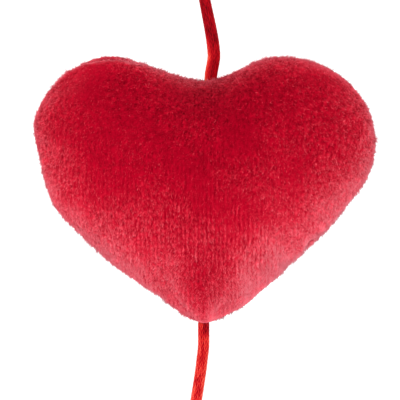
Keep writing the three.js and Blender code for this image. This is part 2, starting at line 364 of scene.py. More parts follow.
def tube(line, radius, flatten=1.0, blunt=0.7, braid=SATIN_BRAID):
    """A braided cord along a line, its ends rounded over blunt radii.

    Returns vertices, quads, triangles, the braid's painted light and shade, and the direction outward.
    """
    columns, pitch, depth, sides = braid
    across, up = sides_of(line)
    run = run_along(line)
    turn = 2 * np.pi * np.arange(sides) / sides
    column = (turn / (2 * np.pi) * columns) % 1
    slant = np.abs(column - 0.5)  # each column is a stack of long vees
    phase = run[:, None] / pitch + 3.0 * slant[None, :]
    strand = 0.5 + 0.5 * np.cos(2 * np.pi * phase)
    valley = np.sqrt(np.abs(np.sin(np.pi * column)) * np.abs(np.cos(np.pi * column)) * 2)
    height = strand ** 1.2 * (0.35 + 0.65 * valley[None, :])
    half = np.floor(turn / (2 * np.pi) * columns * 2).astype(int)
    stitch = np.floor(phase).astype(int) + 37 * half[None, :]
    lit = SHUFFLE[stitch & 255] / 255 - 0.5  # each stitch's own
    from_end = np.minimum(run, run[-1] - run)
    fall = np.sqrt(np.clip(1 - (1 - np.clip(from_end / (blunt * radius), 0, 1)) ** 2, 0.02, 1))
    r = (radius - 0.3 * depth + depth * (height - 0.5)) * fall[:, None]
    flatten = np.broadcast_to(flatten, len(line))[:, None, None]
    out = (
        np.cos(turn)[None, :, None] * across[:, None, :] * flatten
        + np.sin(turn)[None, :, None] * up[:, None, :] / flatten
    )
    ring = line[:, None, :] + r[:, :, None] * out
    count = len(line)
    vertices = np.vstack([ring.reshape(-1, 3), line[:1], line[-1:]])
    k, i = np.meshgrid(np.arange(count - 1), np.arange(sides), indexing="ij")
    j = (i + 1) % sides
    here, there = k * sides, (k + 1) * sides
    quads = np.stack([here + i, here + j, there + j, there + i], -1).reshape(-1, 4)
    one = np.arange(sides)
    two = (one + 1) % sides
    foot, top = np.full(sides, count * sides), np.full(sides, count * sides + 1)
    last = (count - 1) * sides
    triangles = np.vstack([np.stack([foot, two, one], -1), np.stack([top, last + one, last + two], -1)])
    # painted light on the strands, painted shade in the valleys, each stitch with its own random tone
    shade = np.concatenate([(height - 0.5 + 0.5 * lit).ravel(), [0, 0]])
    out = np.vstack([out.reshape(-1, 3), np.zeros((2, 3))])
    return vertices, quads, triangles, shade, out


def satin(line, painted_cord_light, contrast=BRAID_CONTRAST, **shape):
    """Satin cord: vertices, quads, triangles, tone. Its second argument, given vertices and outward, is the
    painted light and shade by place and facing.
    """
    vertices, quads, triangles, shade, out = tube(line, CORD_RADIUS, **shape)
    tone = painted_cord_light(vertices, out) + contrast * shade + 0.05 * noise(vertices, 1.6 * MM, 51)
    return vertices, quads, triangles, tone


def cord_piece(name, line, painted_cord_light, body=None, stands_for=None, **look):
    """A length of cord that is a piece by itself."""
    vertices, quads, triangles, tone = satin(line, painted_cord_light, **look)
    piece = mesh_object(name, vertices, quads, triangles, {"tone": tone})
    dress(piece, "satin_cord", body, stands_for)
    return piece


def dim_painted_light(vertices, out):
    """Deep crimson in painted shade, with painted light on the left just above the heart and along the
    cord's sides.
    """
    near = smooth(NOTCH[2] + 11 * MM - vertices[:, 2], 0, 7 * MM)
    lit = (0.08 + 0.40 * smooth(-out[:, 0], 0.1, 0.95)) * near
    return 0.10 + lit + 0.14 * smooth(np.abs(out[:, 0]), 0.6, 1.0)


def bright_painted_light(vertices, out):
    """Orange red in painted light, with painted shade under the heart's tip and down the middle of its face,
    and painted light along its sides.
    """
    shade = smooth(vertices[:, 2], TIP[2] - 3.2 * MM, TIP[2] - 0.4 * MM) * smooth(out[:, 0], -0.4, 0.2)
    return 0.48 - 0.36 * shade + 0.18 * smooth(np.abs(out[:, 0]), 0.3, 0.95)


# ---- knots

KNOT_SQUEEZE = 0.82  # how near two turns of the soft cord press to each other, in diameters


def resampled(line, step):
    """A line through points evenly spaced along it, about a step apart."""
    run = run_along(line)
    at = np.linspace(0, run[-1], max(2, round(run[-1] / step)) + 1)
    return np.stack([np.interp(at, run, line[:, k]) for k in range(3)], -1)


def tightened(ropes, apart, step, rounds):
    """Draws ropes whose ends are held as short as their thickness lets them be."""
    for _ in range(rounds):
        ropes = [resampled(rope, step) for rope in ropes]
        sizes = [len(rope) for rope in ropes]
        which = np.repeat(np.arange(len(ropes)), sizes)
        order = np.concatenate([np.arange(size) for size in sizes])
        free = (order > 0) & (order < np.array(sizes)[which] - 1)
        along = np.abs(order[:, None] - order[None, :]) * step
        near = (which[:, None] == which[None, :]) & (along < 1.5 * apart)
        p = np.vstack(ropes)
        for _ in range(3):
            pull = np.zeros_like(p)
            pull[1:-1] = (p[:-2] + p[2:]) / 2 - p[1:-1]
            p[free] += 0.5 * pull[free]
            for _ in range(4):
                between = p[:, None] - p[None]
                far = np.linalg.norm(between, axis=-1) + 1e-12
                over = np.where(near, 0, np.maximum(apart - far, 0))
                push = ((over / far)[..., None] * between).sum(1)
                push /= np.maximum((over > 0).sum(1), 1)[:, None]
                p[free] += 0.5 * push[free]
        ropes = np.split(p, np.cumsum(sizes)[:-1])
    return ropes


def overhand(apart, reach):
    """An open overhand knot drawn tight, its ends straight up and down the Z axis. In units of apart."""
    t = np.linspace(-2.15, 2.15, 160)
    turns = 1.5 * np.stack([t ** 3 - 3 * t, t ** 4 - 4 * t ** 2 + 1.8, 0.3 * (t ** 5 - 10 * t)], -1)
    rope = [np.vstack([[0, 0, -12.0], turns, [0, 0, 12.0]]) * apart]
    for step, rounds in ((0.58, 150), (0.45, 60)):
        rope = tightened(rope, apart, step * apart, rounds)
    line = rope[0]
    body = line[np.abs(line[:, 2]) < 2.2 * apart]
    line = body - [*((body.max(0) + body.min(0)) / 2)[:2], 0]
    line = np.vstack([[0, 0, -reach], line, [0, 0, reach]])
    return tightened([line], apart, 0.35 * apart, 30)[0]


def knot_piece(name, ropes, painted_cord_light, body, stands_for):
    """One piece from the lengths of cord in a knot."""
    parts, tones, first = [], [], 0
    for rope in ropes:
        line = through(resampled(rope, 0.8 * MM), CORD_STEP)
        vertices, quads, triangles, tone = satin(line, painted_cord_light)
        parts.append((vertices, quads + first, triangles + first))
        tones.append(tone)
        first += len(vertices)
    vertices, quads, triangles = (np.vstack(group) for group in zip(*parts))
    piece = mesh_object(name, vertices, quads, triangles, {"tone": np.concatenate(tones)})
    dress(piece, "satin_cord", body, stands_for)
    return piece


THICK = 2 * CORD_RADIUS * KNOT_SQUEEZE
JOINT_END = CORD_RADIUS * np.array([0, 0, 1.0])  # a cord that turns at its end goes on to a round end there


def end_knot_rope():
    """The knot at the bottom and the cut end below it, from the bottom up."""
    low, high = low_high("end_knot")
    centre = np.array([(TAIL + LOWER_ROUTE[-1])[0], 0, high[2] - 3.8 * MM])
    rope = overhand(THICK, 12 * MM) + centre
    return rope[(rope[:, 2] > low[2] + 0.2 * MM) & (rope[:, 2] < centre[2] + 4.2 * MM)]


def loop_knot_ropes():
    """The loop's two legs, side by side through one knot: the one that carries the heart and the cut one."""
    wide = overhand(1.6 * THICK, 14 * MM)
    beside, _ = sides_of(wide)
    pair = tightened([wide + beside * THICK / 2, wide - beside * THICK / 2], THICK, 1.3 * MM, 60)
    pair.sort(key=lambda rope: rope[-1, 0])
    tops = [np.array([x, 0, 6.4 * MM]) for x in (-1.6 * MM, 1.6 * MM)]
    bottoms = [STRAND_TOP - LOOP_KNOT - [0, 0, 3 * MM], np.array([8.5 * MM, 0, -9.0 * MM])]
    pair = [np.vstack([low, rope[np.abs(rope[:, 2]) < 6.2 * MM], high])
            for low, rope, high in zip(bottoms, pair, tops)]
    for step, rounds in ((1.2 * MM, 50), (0.8 * MM, 50)):
        pair = tightened(pair, THICK, step, rounds)
    carried, cut = pair
    foot = STRAND_TOP - LOOP_KNOT
    hung = smooth(carried[:, 2], foot[2] + 3.4 * MM, foot[2] + 0.4 * MM)[:, None]
    carried[:, :2] += hung * (foot[:2] - carried[:, :2])
    carried = carried[(carried[:, 2] > (foot - JOINT_END)[2]) & (carried[:, 2] < 5.4 * MM)]
    cut = cut[(np.linalg.norm(cut, axis=1) < 9.3 * MM) & (cut[:, 2] < 5.4 * MM)]
    return carried + LOOP_KNOT, cut + LOOP_KNOT


end_rope = end_knot_rope()
carried_rope, cut_rope = loop_knot_ropes()

# ---- the lengths of cord

neck_foot = np.array([NOTCH[0], 0, low_high("notch_cord")[0][2]])
upper_line = through(np.vstack([neck_foot, NOTCH + UPPER_ROUTE, STRAND_TOP + 0.9 * JOINT_END]), CORD_STEP)
pressed = 1 + 0.12 * smooth(STRAND_TOP[2] - upper_line[:, 2], 12 * MM, 26 * MM)
upper = cord_piece("upper_cord_satin", upper_line, dim_painted_light, flatten=pressed)
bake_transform(upper)
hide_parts("upper_cord", "notch_cord")

tip_top = np.array([TIP[0], 0, low_high("tip_cord")[1][2] + 0.2 * MM])
into_knot = resampled(end_rope[::-1], 1.1 * MM)[:3]
lower_line = through(np.vstack([
    tip_top, TIP - [0, 0, 1.2 * MM], TAIL + LOWER_ROUTE[:-1], into_knot,
]), CORD_STEP)
lower = cord_piece("lower_cord_satin", lower_line, bright_painted_light, contrast=0.7, blunt=0.5)
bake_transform(lower)
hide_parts("lower_cord", "tip_cord")

legs = [resampled(rope[rope[:, 2] > LOOP_KNOT[2] + 2.4 * MM][-5:], 1.1 * MM)
        for rope in (carried_rope, cut_rope)]
loop_line = through(np.vstack([legs[0], LOOP_KNOT + LOOP_ROUTE[1:-1], legs[1][::-1]]), CORD_STEP)
loop = cord_piece("hanging_loop_satin", loop_line, dim_painted_light, "hanger", "hanging_loop")

end_knot = knot_piece("end_knot_satin", [end_rope], bright_painted_light, "tail", "end_knot")
loop_knot = knot_piece("loop_knot_satin", [carried_rope, cut_rope], dim_painted_light, "knot", "loop_knot")

# ---- the heart's surface

COARSE = 70  # cells across a panel in the cloth simulation and on its hidden inner face
FINER = 4  # fine cells to one of those on its outer face
FABRIC = 1.5 * MM
ALLOWANCE_WIDTH = 5 * MM
ALLOWANCE_THICKNESS = 0.8 * MM
CORD_SPREAD = 3.0 * MM  # how far to each side of the cord the seam opens round it
NOTCH_DEPTH = 5.6 * MM

NOTCH_HEIGHT = 1 - NOTCH_DEPTH / HEART_HEIGHT
# The seam line's cubic curves from the tip, anticlockwise seen from the front: two handles and an end
# each, as shares of the half width and of the height.
SEAM_CURVES = [
    (0.21, 0.026, 0.58, 0.25, 0.845, 0.45), (0.91, 0.50, 1.0, 0.585, 1.0, 0.675),
    (1.0, 0.855, 0.75, 1.0, 0.455, 1.0), (0.26, 1.0, 0.17, NOTCH_HEIGHT, -0.01, NOTCH_HEIGHT),
    (-0.17, NOTCH_HEIGHT, -0.39, 1.0, -0.555, 1.0), (-0.755, 1.0, -1.0, 0.857, -1.0, 0.73),
    (-1.0, 0.67, -0.915, 0.47, -0.875, 0.433), (-0.68, 0.275, -0.105, 0.01, 0.0, 0.0),
]

# Where the filling pushes the outline out or leaves it slack: x, height over the tip and how far, in mm,
# and the half angle it takes up about the middle.
STUFFED_BULGES = [
    (-20.2, 13.5, 0.35, 0.10), (-4.0, 1.2, 0.35, 0.07), (9.4, 4.9, 0.40, 0.09), (28.1, 22.2, 0.30, 0.16),
    (38.1, 33.8, 0.30, 0.10), (-12.7, 60.6, -0.2, 0.15), (18.8, 62.5, -0.25, 0.18),
    (-35.5, 38.0, -0.3, 0.10), (-11.0, 5.5, -0.35, 0.09), (20.5, 14.0, -0.4, 0.07),
]
PILE_ALLOWANCE = 0.18 * MM  # the pile adds this to the seam line
FILLING_SAG = 0.24 * MM  # the filling has sunk by this


def bump_at(turn, place, width):
    """A smooth hump over the polar angle, highest at place, about width wide on each side."""
    off = (turn - place + np.pi) % (2 * np.pi) - np.pi
    return np.exp(-(off / width) ** 2)


def polar_turn(x, z):
    return math.atan2(z - MIDDLE[1], x - MIDDLE[0])


def seam_polar(samples=1440, soften=0.022):
    """The seam line's radius about the middle at even polar angles, softened a little at its corners."""
    start, line = np.zeros(2), []
    t = np.linspace(0, 1, 240, endpoint=False)[:, None]
    for curve in SEAM_CURVES:
        a, b, end = np.array(curve).reshape(3, 2)
        line.append((1 - t) ** 3 * start + 3 * t * (1 - t) ** 2 * a
                    + 3 * t * t * (1 - t) * b + t ** 3 * end)
        start = end
    line = np.vstack(line) * [HALF_WIDTH, HEART_HEIGHT] + [0, HEART_LOW] - MIDDLE
    turn = np.arctan2(line[:, 1], line[:, 0])
    order = np.argsort(turn)
    even = -np.pi + 2 * np.pi * np.arange(samples) / samples
    far = np.interp(even, turn[order], np.linalg.norm(line, axis=1)[order], period=2 * np.pi)
    reach = round(3 * soften / (2 * np.pi) * samples)
    kernel = np.exp(-(np.arange(-reach, reach + 1) / reach * 3) ** 2 / 2)
    kernel /= kernel.sum()
    far = sum(w * np.roll(far, k - reach) for k, w in enumerate(kernel))
    far -= PILE_ALLOWANCE + FILLING_SAG * np.sin(even)
    for x, height, bulge, width in STUFFED_BULGES:
        far += bulge * MM * bump_at(even, polar_turn(x * MM, HEART_LOW + height * MM), width)
    return even, far


SEAM_TURN, SEAM_FAR = seam_polar()


def periodic(turn, values):
    """A closed curve through values at turning angles."""
    return lambda angle: np.interp(angle, turn, values, period=2 * np.pi)


seam_radius = periodic(SEAM_TURN, SEAM_FAR)


def disk_grid(cells):
    """A square grid of points mapped on a disk: radius 0 to 1 and polar angle, each (cells+1, cells+1)."""
    line = np.linspace(-1, 1, cells + 1)
    u, v = np.meshgrid(line, line, indexing="ij")
    radius = np.maximum(np.abs(u), np.abs(v))
    wide = np.abs(u) >= np.abs(v)
    safe_u, safe_v = np.where(u == 0, 1, u), np.where(v == 0, 1, v)
    turn = np.where(wide, np.pi / 4 * v / safe_u + np.where(u < 0, np.pi, 0),
                    np.pi / 2 - np.pi / 4 * u / safe_v + np.where(v < 0, np.pi, 0))
    return radius, turn


# Where the seam shows from the front: its polar angle; how far it comes forward and is pulled in there;
# and the half angles of these two and of its open groove.
TOP_OF_LEFT_LOBE = polar_turn(-22 * MM, PANEL_HIGH[2])
CLOSED_BY_HAND = polar_turn(26.5 * MM, HEART_LOW + 18 * MM)
SHOWN_SEAM = [
    (TOP_OF_LEFT_LOBE, 4.8 * MM, 1.25 * MM, 0.26, 0.22, 0.16),
    (CLOSED_BY_HAND, 3.0 * MM, 1.2 * MM, 0.11, 0.09, 0.07),
]


def seam_shift(turn):
    """How far the seam wanders back out of its plane."""
    shift = 0.35 * MM * np.sin(5 * turn + 0.6) + 0.25 * MM * np.sin(11 * turn + 2.0)
    for place, forward, _, width, _, _ in SHOWN_SEAM:
        shift = shift - forward * bump_at(turn, place, width)
    return shift


def seam_inset(turn):
    """How far the seam is pulled in from the widest contour."""
    inset = 0.35 * MM
    for place, _, pulled_in, _, width, _ in SHOWN_SEAM:
        inset = inset + pulled_in * bump_at(turn, place, width)
    return inset


def seam_shown(turn):
    """How open to view the seam's groove lies."""
    return sum(bump_at(turn, place, width) for place, *_, width in SHOWN_SEAM)


def cord_opening(turn, radius):
    """How far each panel's rim stands off the seam plane to pass round the cord."""
    x = MIDDLE[0] + radius * np.cos(turn)
    off = np.where(np.sin(turn) > 0, x - NOTCH[0], x - TIP[0]) / CORD_SPREAD
    near = np.abs(np.cos(turn)) < 0.5
    return np.where(near, (CORD_RADIUS + 0.1 * MM) * np.exp(-off ** 2), 0)


# How high over the seam each of its effects on the panel's surface has faded.
INSET_FADES, SHOWN_INSET_FADES = 1.4 * MM, 5 * MM
OPENING_FADES = 4 * MM
SHIFT_FADES = 7 * MM


def pillow(radius, turn, facing):
    """Points of one panel's outer face, from its crown at radius 0 to the seam at radius 1."""
    bend = np.pi / 2 * radius
    share = np.sin(bend) ** 0.95
    full = seam_radius(turn)
    out = share * (share * full + (1 - share) * CROWN_RADIUS)
    height = (HALF_THICKNESS - SEAM_HALF_GAP) * np.clip(np.cos(bend), 0, 1) ** 0.9
    fades = INSET_FADES + (SHOWN_INSET_FADES * seam_shown(turn) if facing < 0 else 0)
    edge = np.exp(-(height / fades) ** 2)
    out = out - seam_inset(turn) * edge
    rim = np.maximum(SEAM_HALF_GAP * 0.5, cord_opening(turn, out))
    y = facing * (height + rim * np.exp(-(height / OPENING_FADES) ** 2))
    y = y + seam_shift(turn) * np.exp(-(height / SHIFT_FADES) ** 2)
    return np.stack([MIDDLE[0] + out * np.cos(turn), y, MIDDLE[1] + out * np.sin(turn)], -1)


def from_middle(points):
    """Places about the heart's middle, seen from the front."""
    return points[..., [0, 2]] - MIDDLE


def placed(flat, y):
    """Points from such places and their depth."""
    return np.stack([MIDDLE[0] + flat[..., 0], y, MIDDLE[1] + flat[..., 1]], -1)


def normals_of(points, facing):
    """Unit normals of a grid of points, out of the heart."""
    across = np.gradient(points, axis=0)
    up = np.gradient(points, axis=1)
    return unit(np.cross(across, up) * -facing)


def grid_quads(cells, facing, first=0):
    i, j = np.meshgrid(np.arange(cells), np.arange(cells), indexing="ij")
    a = first + i * (cells + 1) + j
    quads = np.stack([a, a + cells + 1, a + cells + 2, a + 1], -1).reshape(-1, 4)
    return quads if facing < 0 else quads[:, ::-1]


def grid_rim(cells):
    """Indexes of the grid's border, in order round it, in the sense of growing polar angle."""
    n = np.arange((cells + 1) ** 2).reshape(cells + 1, cells + 1)
    return np.concatenate([n[-1, :-1], n[:0:-1, -1], n[0, :0:-1], n[:-1, 0]])


def sewn(front, back):
    """Two grids made one along their borders: points, faces, and the number each point had before."""
    cells = front.shape[0] - 1
    count = (cells + 1) ** 2
    rim = grid_rim(cells)
    joined = np.arange(2 * count)
    joined[count + rim] = rim
    points = np.vstack([front.reshape(-1, 3), back.reshape(-1, 3)])
    points[rim] = (points[rim] + points[count + rim]) / 2
    quads = np.vstack([grid_quads(cells, -1), joined[grid_quads(cells, 1, count)]])
    used, quads = np.unique(quads, return_inverse=True)
    return points[used], quads.reshape(-1, 4), used


def finer(grid, ratio):
    """A grid of vectors resampled to ratio cells for each one, by cubic interpolation."""
    for axis in (0, 1):
        g = np.moveaxis(grid, axis, 0)
        n = g.shape[0] - 1
        pad = np.concatenate([2 * g[:1] - g[1:2], g, 2 * g[-1:] - g[-2:-1]])
        t = np.arange(n * ratio + 1) / ratio
        k = np.minimum(t.astype(int), n - 1)
        s = (t - k).reshape(-1, *[1] * (g.ndim - 1))
        p0, p1, p2, p3 = pad[k], pad[k + 1], pad[k + 2], pad[k + 3]
        g = 0.5 * (2 * p1 + (p2 - p0) * s + (2 * p0 - 5 * p1 + 4 * p2 - p3) * s ** 2
                   + (3 * p1 - p0 - 3 * p2 + p3) * s ** 3)
        grid = np.moveaxis(g, 0, axis)
    return grid


# ---- the cloth simulation

SIM_SCALE = 10  # the cloth is simulated this much larger than it is
SIM_FRAMES = 24
SIM_CAP = 2.6 * MM  # the farthest that a point may move


def simulate(front, back):
    """Blows the two sewn panels up as cloth with the seam held. Returns the two grids as they settle."""
    points, quads, used = sewn(front, back)
    cloth = mesh_object("cloth", points * SIM_SCALE, quads)
    pins = cloth.vertex_groups.new(name="seam")
    pins.add([int(k) for k in np.searchsorted(used, grid_rim(front.shape[0] - 1))], 1.0, "REPLACE")
    modifier = cloth.modifiers.new("cloth", "CLOTH")
    s = modifier.settings
    s.quality = 6
    s.mass = 0.2
    s.tension_stiffness = s.compression_stiffness = 12
    s.shear_stiffness = 6
    s.bending_stiffness = 0.6
    s.vertex_group_mass = "seam"
    s.shrink_min = 0.0
    s.use_pressure = True
    s.uniform_pressure_force = 5
    s.effector_weights.gravity = 0
    modifier.collision_settings.use_collision = False
    modifier.point_cache.frame_start, modifier.point_cache.frame_end = 1, SIM_FRAMES
    scene = bpy.context.scene
    for now in range(1, SIM_FRAMES + 1):
        scene.frame_set(now)
    settled = cloth.evaluated_get(bpy.context.evaluated_depsgraph_get()).to_mesh()
    moved = np.empty(len(points) * 3, np.float32)
    settled.vertices.foreach_get("co", moved)
    moved = moved.reshape(-1, 3).astype(float) / SIM_SCALE - points
    cloth.to_mesh_clear()
    bpy.data.objects.remove(cloth, do_unlink=True)
    scene.frame_set(1)
    far = np.linalg.norm(moved, axis=1, keepdims=True)
    moved *= np.minimum(1, SIM_CAP / np.maximum(far, 1e-9))
    all_moved = np.zeros((2, *front.shape))
    all_moved.reshape(-1, 3)[used] = moved
    return [face + relaxed(moves) for face, moves in zip((front, back), all_moved)]


def relaxed(grid, rounds=10):
    """Evens out the sharpest wrinkles of a grid of moves, its border held, as a stiffer backing would."""
    grid[0] = grid[-1] = grid[:, 0] = grid[:, -1] = 0
    for _ in range(rounds):
        around = grid[:-2, 1:-1] + grid[2:, 1:-1] + grid[1:-1, :-2] + grid[1:-1, 2:]
        grid[1:-1, 1:-1] = 0.5 * grid[1:-1, 1:-1] + 0.125 * around
    return grid


def inflated():
    """The outer faces of the two panels on the coarse grid: front, back."""
    radius, turn = disk_grid(COARSE)
    grids = []
    for facing in (-1, 1):
        points = pillow(radius, turn, facing)
        lumps = 0.5 * MM * noise(points.reshape(-1, 3), 17 * MM, 3).reshape(radius.shape)
        lumps += 0.22 * MM * noise(points.reshape(-1, 3), 8 * MM, 4).reshape(radius.shape)
        room = np.sin(np.pi * np.minimum(radius * 1.02, 1)) ** 0.5  # none at the crown and the seam
        grids.append(points + normals_of(points, facing) * (lumps * room)[..., None])
    start = []
    for points in grids:
        y = points[..., 1]
        start.append(np.stack([points[..., 0], y * (1 - 0.10 * (1 - radius ** 4)), points[..., 2]], -1))
    settled = simulate(*start)
    for points in settled:  # their crowns come to the heart's thickness
        points[..., 1] *= 1 + (HALF_THICKNESS / np.abs(points[..., 1]).max() - 1) * (1 - radius ** 2)
    return settled


def held_to_outline(grids):
    """Draws the bulging cloth in so that, seen from the front, it ends where the seam line does."""
    bins = 180
    turns, fars = [], []
    for points in grids:
        flat = from_middle(points).reshape(-1, 2)
        turns.append(np.arctan2(flat[:, 1], flat[:, 0]))
        fars.append(np.linalg.norm(flat, axis=1))
    turn, far = np.concatenate(turns), np.concatenate(fars)
    share = far / seam_radius(turn)
    sector = ((turn + np.pi) / (2 * np.pi) * bins).astype(int) % bins
    widest = np.zeros(bins)
    np.maximum.at(widest, sector, share)
    around = np.arange(-3, 4)
    kernel = np.exp(-(around / 1.5) ** 2)
    kernel /= kernel.sum()
    widest = sum(w * np.roll(widest, k) for k, w in zip(around, kernel))
    centres = -np.pi + (np.arange(bins) + 0.5) * 2 * np.pi / bins
    factor = periodic(centres, 1 / widest)
    out = []
    for points in grids:
        flat = from_middle(points)
        a = np.arctan2(flat[..., 1], flat[..., 0])
        r = np.linalg.norm(flat, axis=-1) / seam_radius(a)
        k = 1 + (factor(a) - 1) * np.clip(r, 0, 1) ** 2
        out.append(placed(flat * k[..., None], points[..., 1]))
    return out


COARSE_FACES = held_to_outline(inflated())

# ---- the plush panels

WALE = 0.95 * MM


def lowness(points):
    """0 on the heart's upper part and 1 near its tip."""
    return smooth(-(points[:, 2] - MIDDLE[1]), -14 * MM, 16 * MM)


def plush_detail(points, normals, seam_distance, shown):
    """Height of the pile over the backing, its tone with painted shade, and how far it is crushed."""
    flat = points.reshape(-1, 3)
    shape = seam_distance.shape
    wobble = 0.35 * MM * noise(flat, 6 * MM, 11) + 0.12 * MM * noise(flat, 2.2 * MM, 17)
    broken = np.clip(0.6 + 0.9 * noise(flat, (1.6 * MM, 3 * MM, 2.2 * MM), 12), 0, 2)
    wale = np.cos(2 * np.pi * (flat[:, 0] + wobble) / WALE) * (0.35 + 0.65 * lowness(flat))
    wale *= np.abs(normals.reshape(-1, 3)[:, 1]) * broken
    tuft = noise(flat, (0.42 * MM, 0.6 * MM, 0.85 * MM), 13)
    clump = noise(flat, (1.1 * MM, 1.1 * MM, 1.7 * MM), 14)
    beside = 1 - np.abs(normals.reshape(-1, 3)[:, 1])
    crushed = smooth(noise(flat, 13 * MM, 15), -0.1, 0.45)
    roll = noise(flat, 4.5 * MM, 16)
    pile = 1 - 0.45 * crushed
    height = (0.13 * tuft + (0.05 + 0.34 * beside ** 2) * clump) * pile * MM
    height += 0.07 * wale * MM + 0.12 * MM * roll
    height = height.reshape(shape) * smooth(seam_distance, 0, 1.0 * MM)
    # the tone follows the relief: painted shade between tufts, clumps and wales, lighter on them
    fine = 0.23 * tuft * pile + 0.06 * clump * pile + 0.12 * wale
    # painted shade in the seam's groove, deepest where the groove lies open to view
    groove_shade = np.exp(-(seam_distance / ((0.6 + 0.4 * shown) * MM)) ** 2) * (0.05 + 0.45 * shown)
    fine = fine - groove_shade.ravel()
    return height, fine.reshape(shape), crushed.reshape(shape)


def painted_pile_light(points, normals, crushed):
    """Painted light and shade of the pile, 0 dark to 1 pale, and darker where the pile is crushed."""
    down = smooth(-(points[..., 2] - MIDDLE[1]) / HEART_HEIGHT, -0.2, 0.4)
    slope = 1 - np.abs(normals[..., 1])
    under = np.clip(-normals[..., 2], 0, 1)
    right = np.sign(normals[..., 0])
    beside = np.abs(normals[..., 0]) * (1.0 + 0.2 * right + 0.65 * down * (right > 0))
    high = smooth(points[..., 2] - MIDDLE[1], 8 * MM, 24 * MM)
    from_notch = (points[..., 0] - NOTCH[0]) / (10 * MM)
    lobes = smooth(points[..., 2], NOTCH[2] - 3 * MM, NOTCH[2] + 3 * MM) * (1 - np.exp(-from_notch ** 2))
    notch = smooth(points[..., 2], NOTCH[2] - 16 * MM, NOTCH[2] - 4 * MM) * np.exp(-from_notch ** 2)
    # painted shade just above the tip, spared down its middle
    from_tip = points[..., [0, 2]] - TIP[[0, 2]] - [0, 7 * MM]
    over_tip = np.exp(-(np.linalg.norm(from_tip, axis=-1) / (8 * MM)) ** 2)
    ridge = np.exp(-(from_tip[..., 0] / (3.5 * MM)) ** 2 - ((from_tip[..., 1] + 3 * MM) / (6 * MM)) ** 2)
    over_tip *= 1.5 - 1.5 * ridge
    # painted light on the lobes, low on the heart, towards its rims and sides, on faces that look down and
    # most on the lower right; painted shade in the notch, just above the tip and high on the heart
    return (0.165 + 0.12 * lobes - 0.12 * notch - 0.11 * over_tip + 0.19 * down - 0.05 * high
            + 0.25 * slope ** 1.2 + 0.09 * under + 0.25 * beside - 0.08 * crushed)


PILE_TUFTS = 48000  # to a panel, four faces each
PILE_LENGTH = 0.8 * MM
PILE_WIDTH = 0.26 * MM
PILE_ROOTED = 0.12 * MM  # how deep in the panel a tuft starts
WORN, WHOLE = 2.4 * MM, 5 * MM  # from the cord's exit at the tip, where it has worn the pile short


def pile_piece(name, points, normals, painted_pile_tone, crushed, seam_distance, seed):
    """The pile's tufts as slender closed spikes that lie over, mostly downwards, with painted shade at their
    roots and painted light on their tips.
    """
    rng = np.random.default_rng(seed)
    count = PILE_TUFTS
    du, dv = points[1:, :-1] - points[:-1, :-1], points[:-1, 1:] - points[:-1, :-1]
    area = np.linalg.norm(np.cross(du, dv), axis=-1).ravel()
    cell = rng.choice(len(area), size=count, p=area / area.sum())
    i, j = np.divmod(cell, points.shape[1] - 1)
    s, t = rng.random((2, count, 1))

    def at(grid):
        g = grid if grid.ndim == 3 else grid[..., None]
        low = g[i, j] * (1 - s) + g[i + 1, j] * s
        high = g[i, j + 1] * (1 - s) + g[i + 1, j + 1] * s
        value = low * (1 - t) + high * t
        return value if grid.ndim == 3 else value[:, 0]

    root, n = at(points), unit(at(normals))
    painted_pile_tone, crushed, from_seam = at(painted_pile_tone), at(crushed), at(seam_distance)
    comb = np.stack([noise(root, 9 * MM, 31), np.zeros(count), noise(root, 9 * MM, 32)], -1)
    stray = rng.normal(size=(count, 3)) * (0.75 - 0.4 * lowness(root))[:, None]
    lay = np.array([0, 0, -1.0]) + 0.8 * comb + stray
    lay = unit(lay - n * np.einsum("ij,ij->i", lay, n)[:, None])
    lean = np.radians(46 + 18 * crushed + rng.normal(size=count) * 14)
    loose = rng.random(count) < 0.03
    lean[loose] *= 0.6
    way = n * np.cos(lean)[:, None] + lay * np.sin(lean)[:, None]
    beside = 1 - np.abs(n[:, 1])
    long = PILE_LENGTH * (0.7 + 0.6 * rng.random(count)) * (1 - 0.25 * crushed)
    long *= 0.7 + 0.3 * smooth(from_seam, 0, 1.5 * MM)
    long *= (1 + 1.1 * beside * noise(root, 1.5 * MM, 33)) * np.where(loose, 1.3, 1)
    long *= 0.3 + 0.7 * smooth(np.linalg.norm(root - TIP, axis=1), WORN, WHOLE)
    wide = PILE_WIDTH * (0.7 + 0.6 * rng.random(count))
    across = unit(np.cross(way, n))
    third = np.cross(way, across)
    spin = rng.random(count) * 2 * np.pi
    foot = root - n * PILE_ROOTED
    corners, outward = [], []
    for k in range(3):
        a = spin + 2 * np.pi * k / 3
        outward.append(across * np.cos(a)[:, None] + third * np.sin(a)[:, None])
        corners.append(foot + outward[-1] * wide[:, None] / 2)
    corners.append(foot + way * long[:, None])
    outward.append(way)
    vertices = np.stack(corners, 1).reshape(-1, 3)
    first = 4 * np.arange(count)[:, None]
    faces = np.vstack([first + [0, 1, 3], first + [1, 2, 3], first + [2, 0, 3], first + [2, 1, 0]])
    own = rng.normal(size=count) * 0.09
    # painted shade at each tuft's root, painted light at its tip
    tone = np.stack([painted_pile_tone - 0.11 + own] * 3 + [painted_pile_tone + 0.3 + own], 1).ravel()
    piece = mesh_object(name, vertices, [], faces, {"tone": tone})
    soft = unit(0.9 * n[:, None, :] + 0.5 * np.stack(outward, 1))
    piece.data.normals_split_custom_set_from_vertices(soft.reshape(-1, 3))
    dress(piece, "plush", "heart")
    return piece


CROWN_TO_SEAM = 45 * MM  # over the panel's surface, about


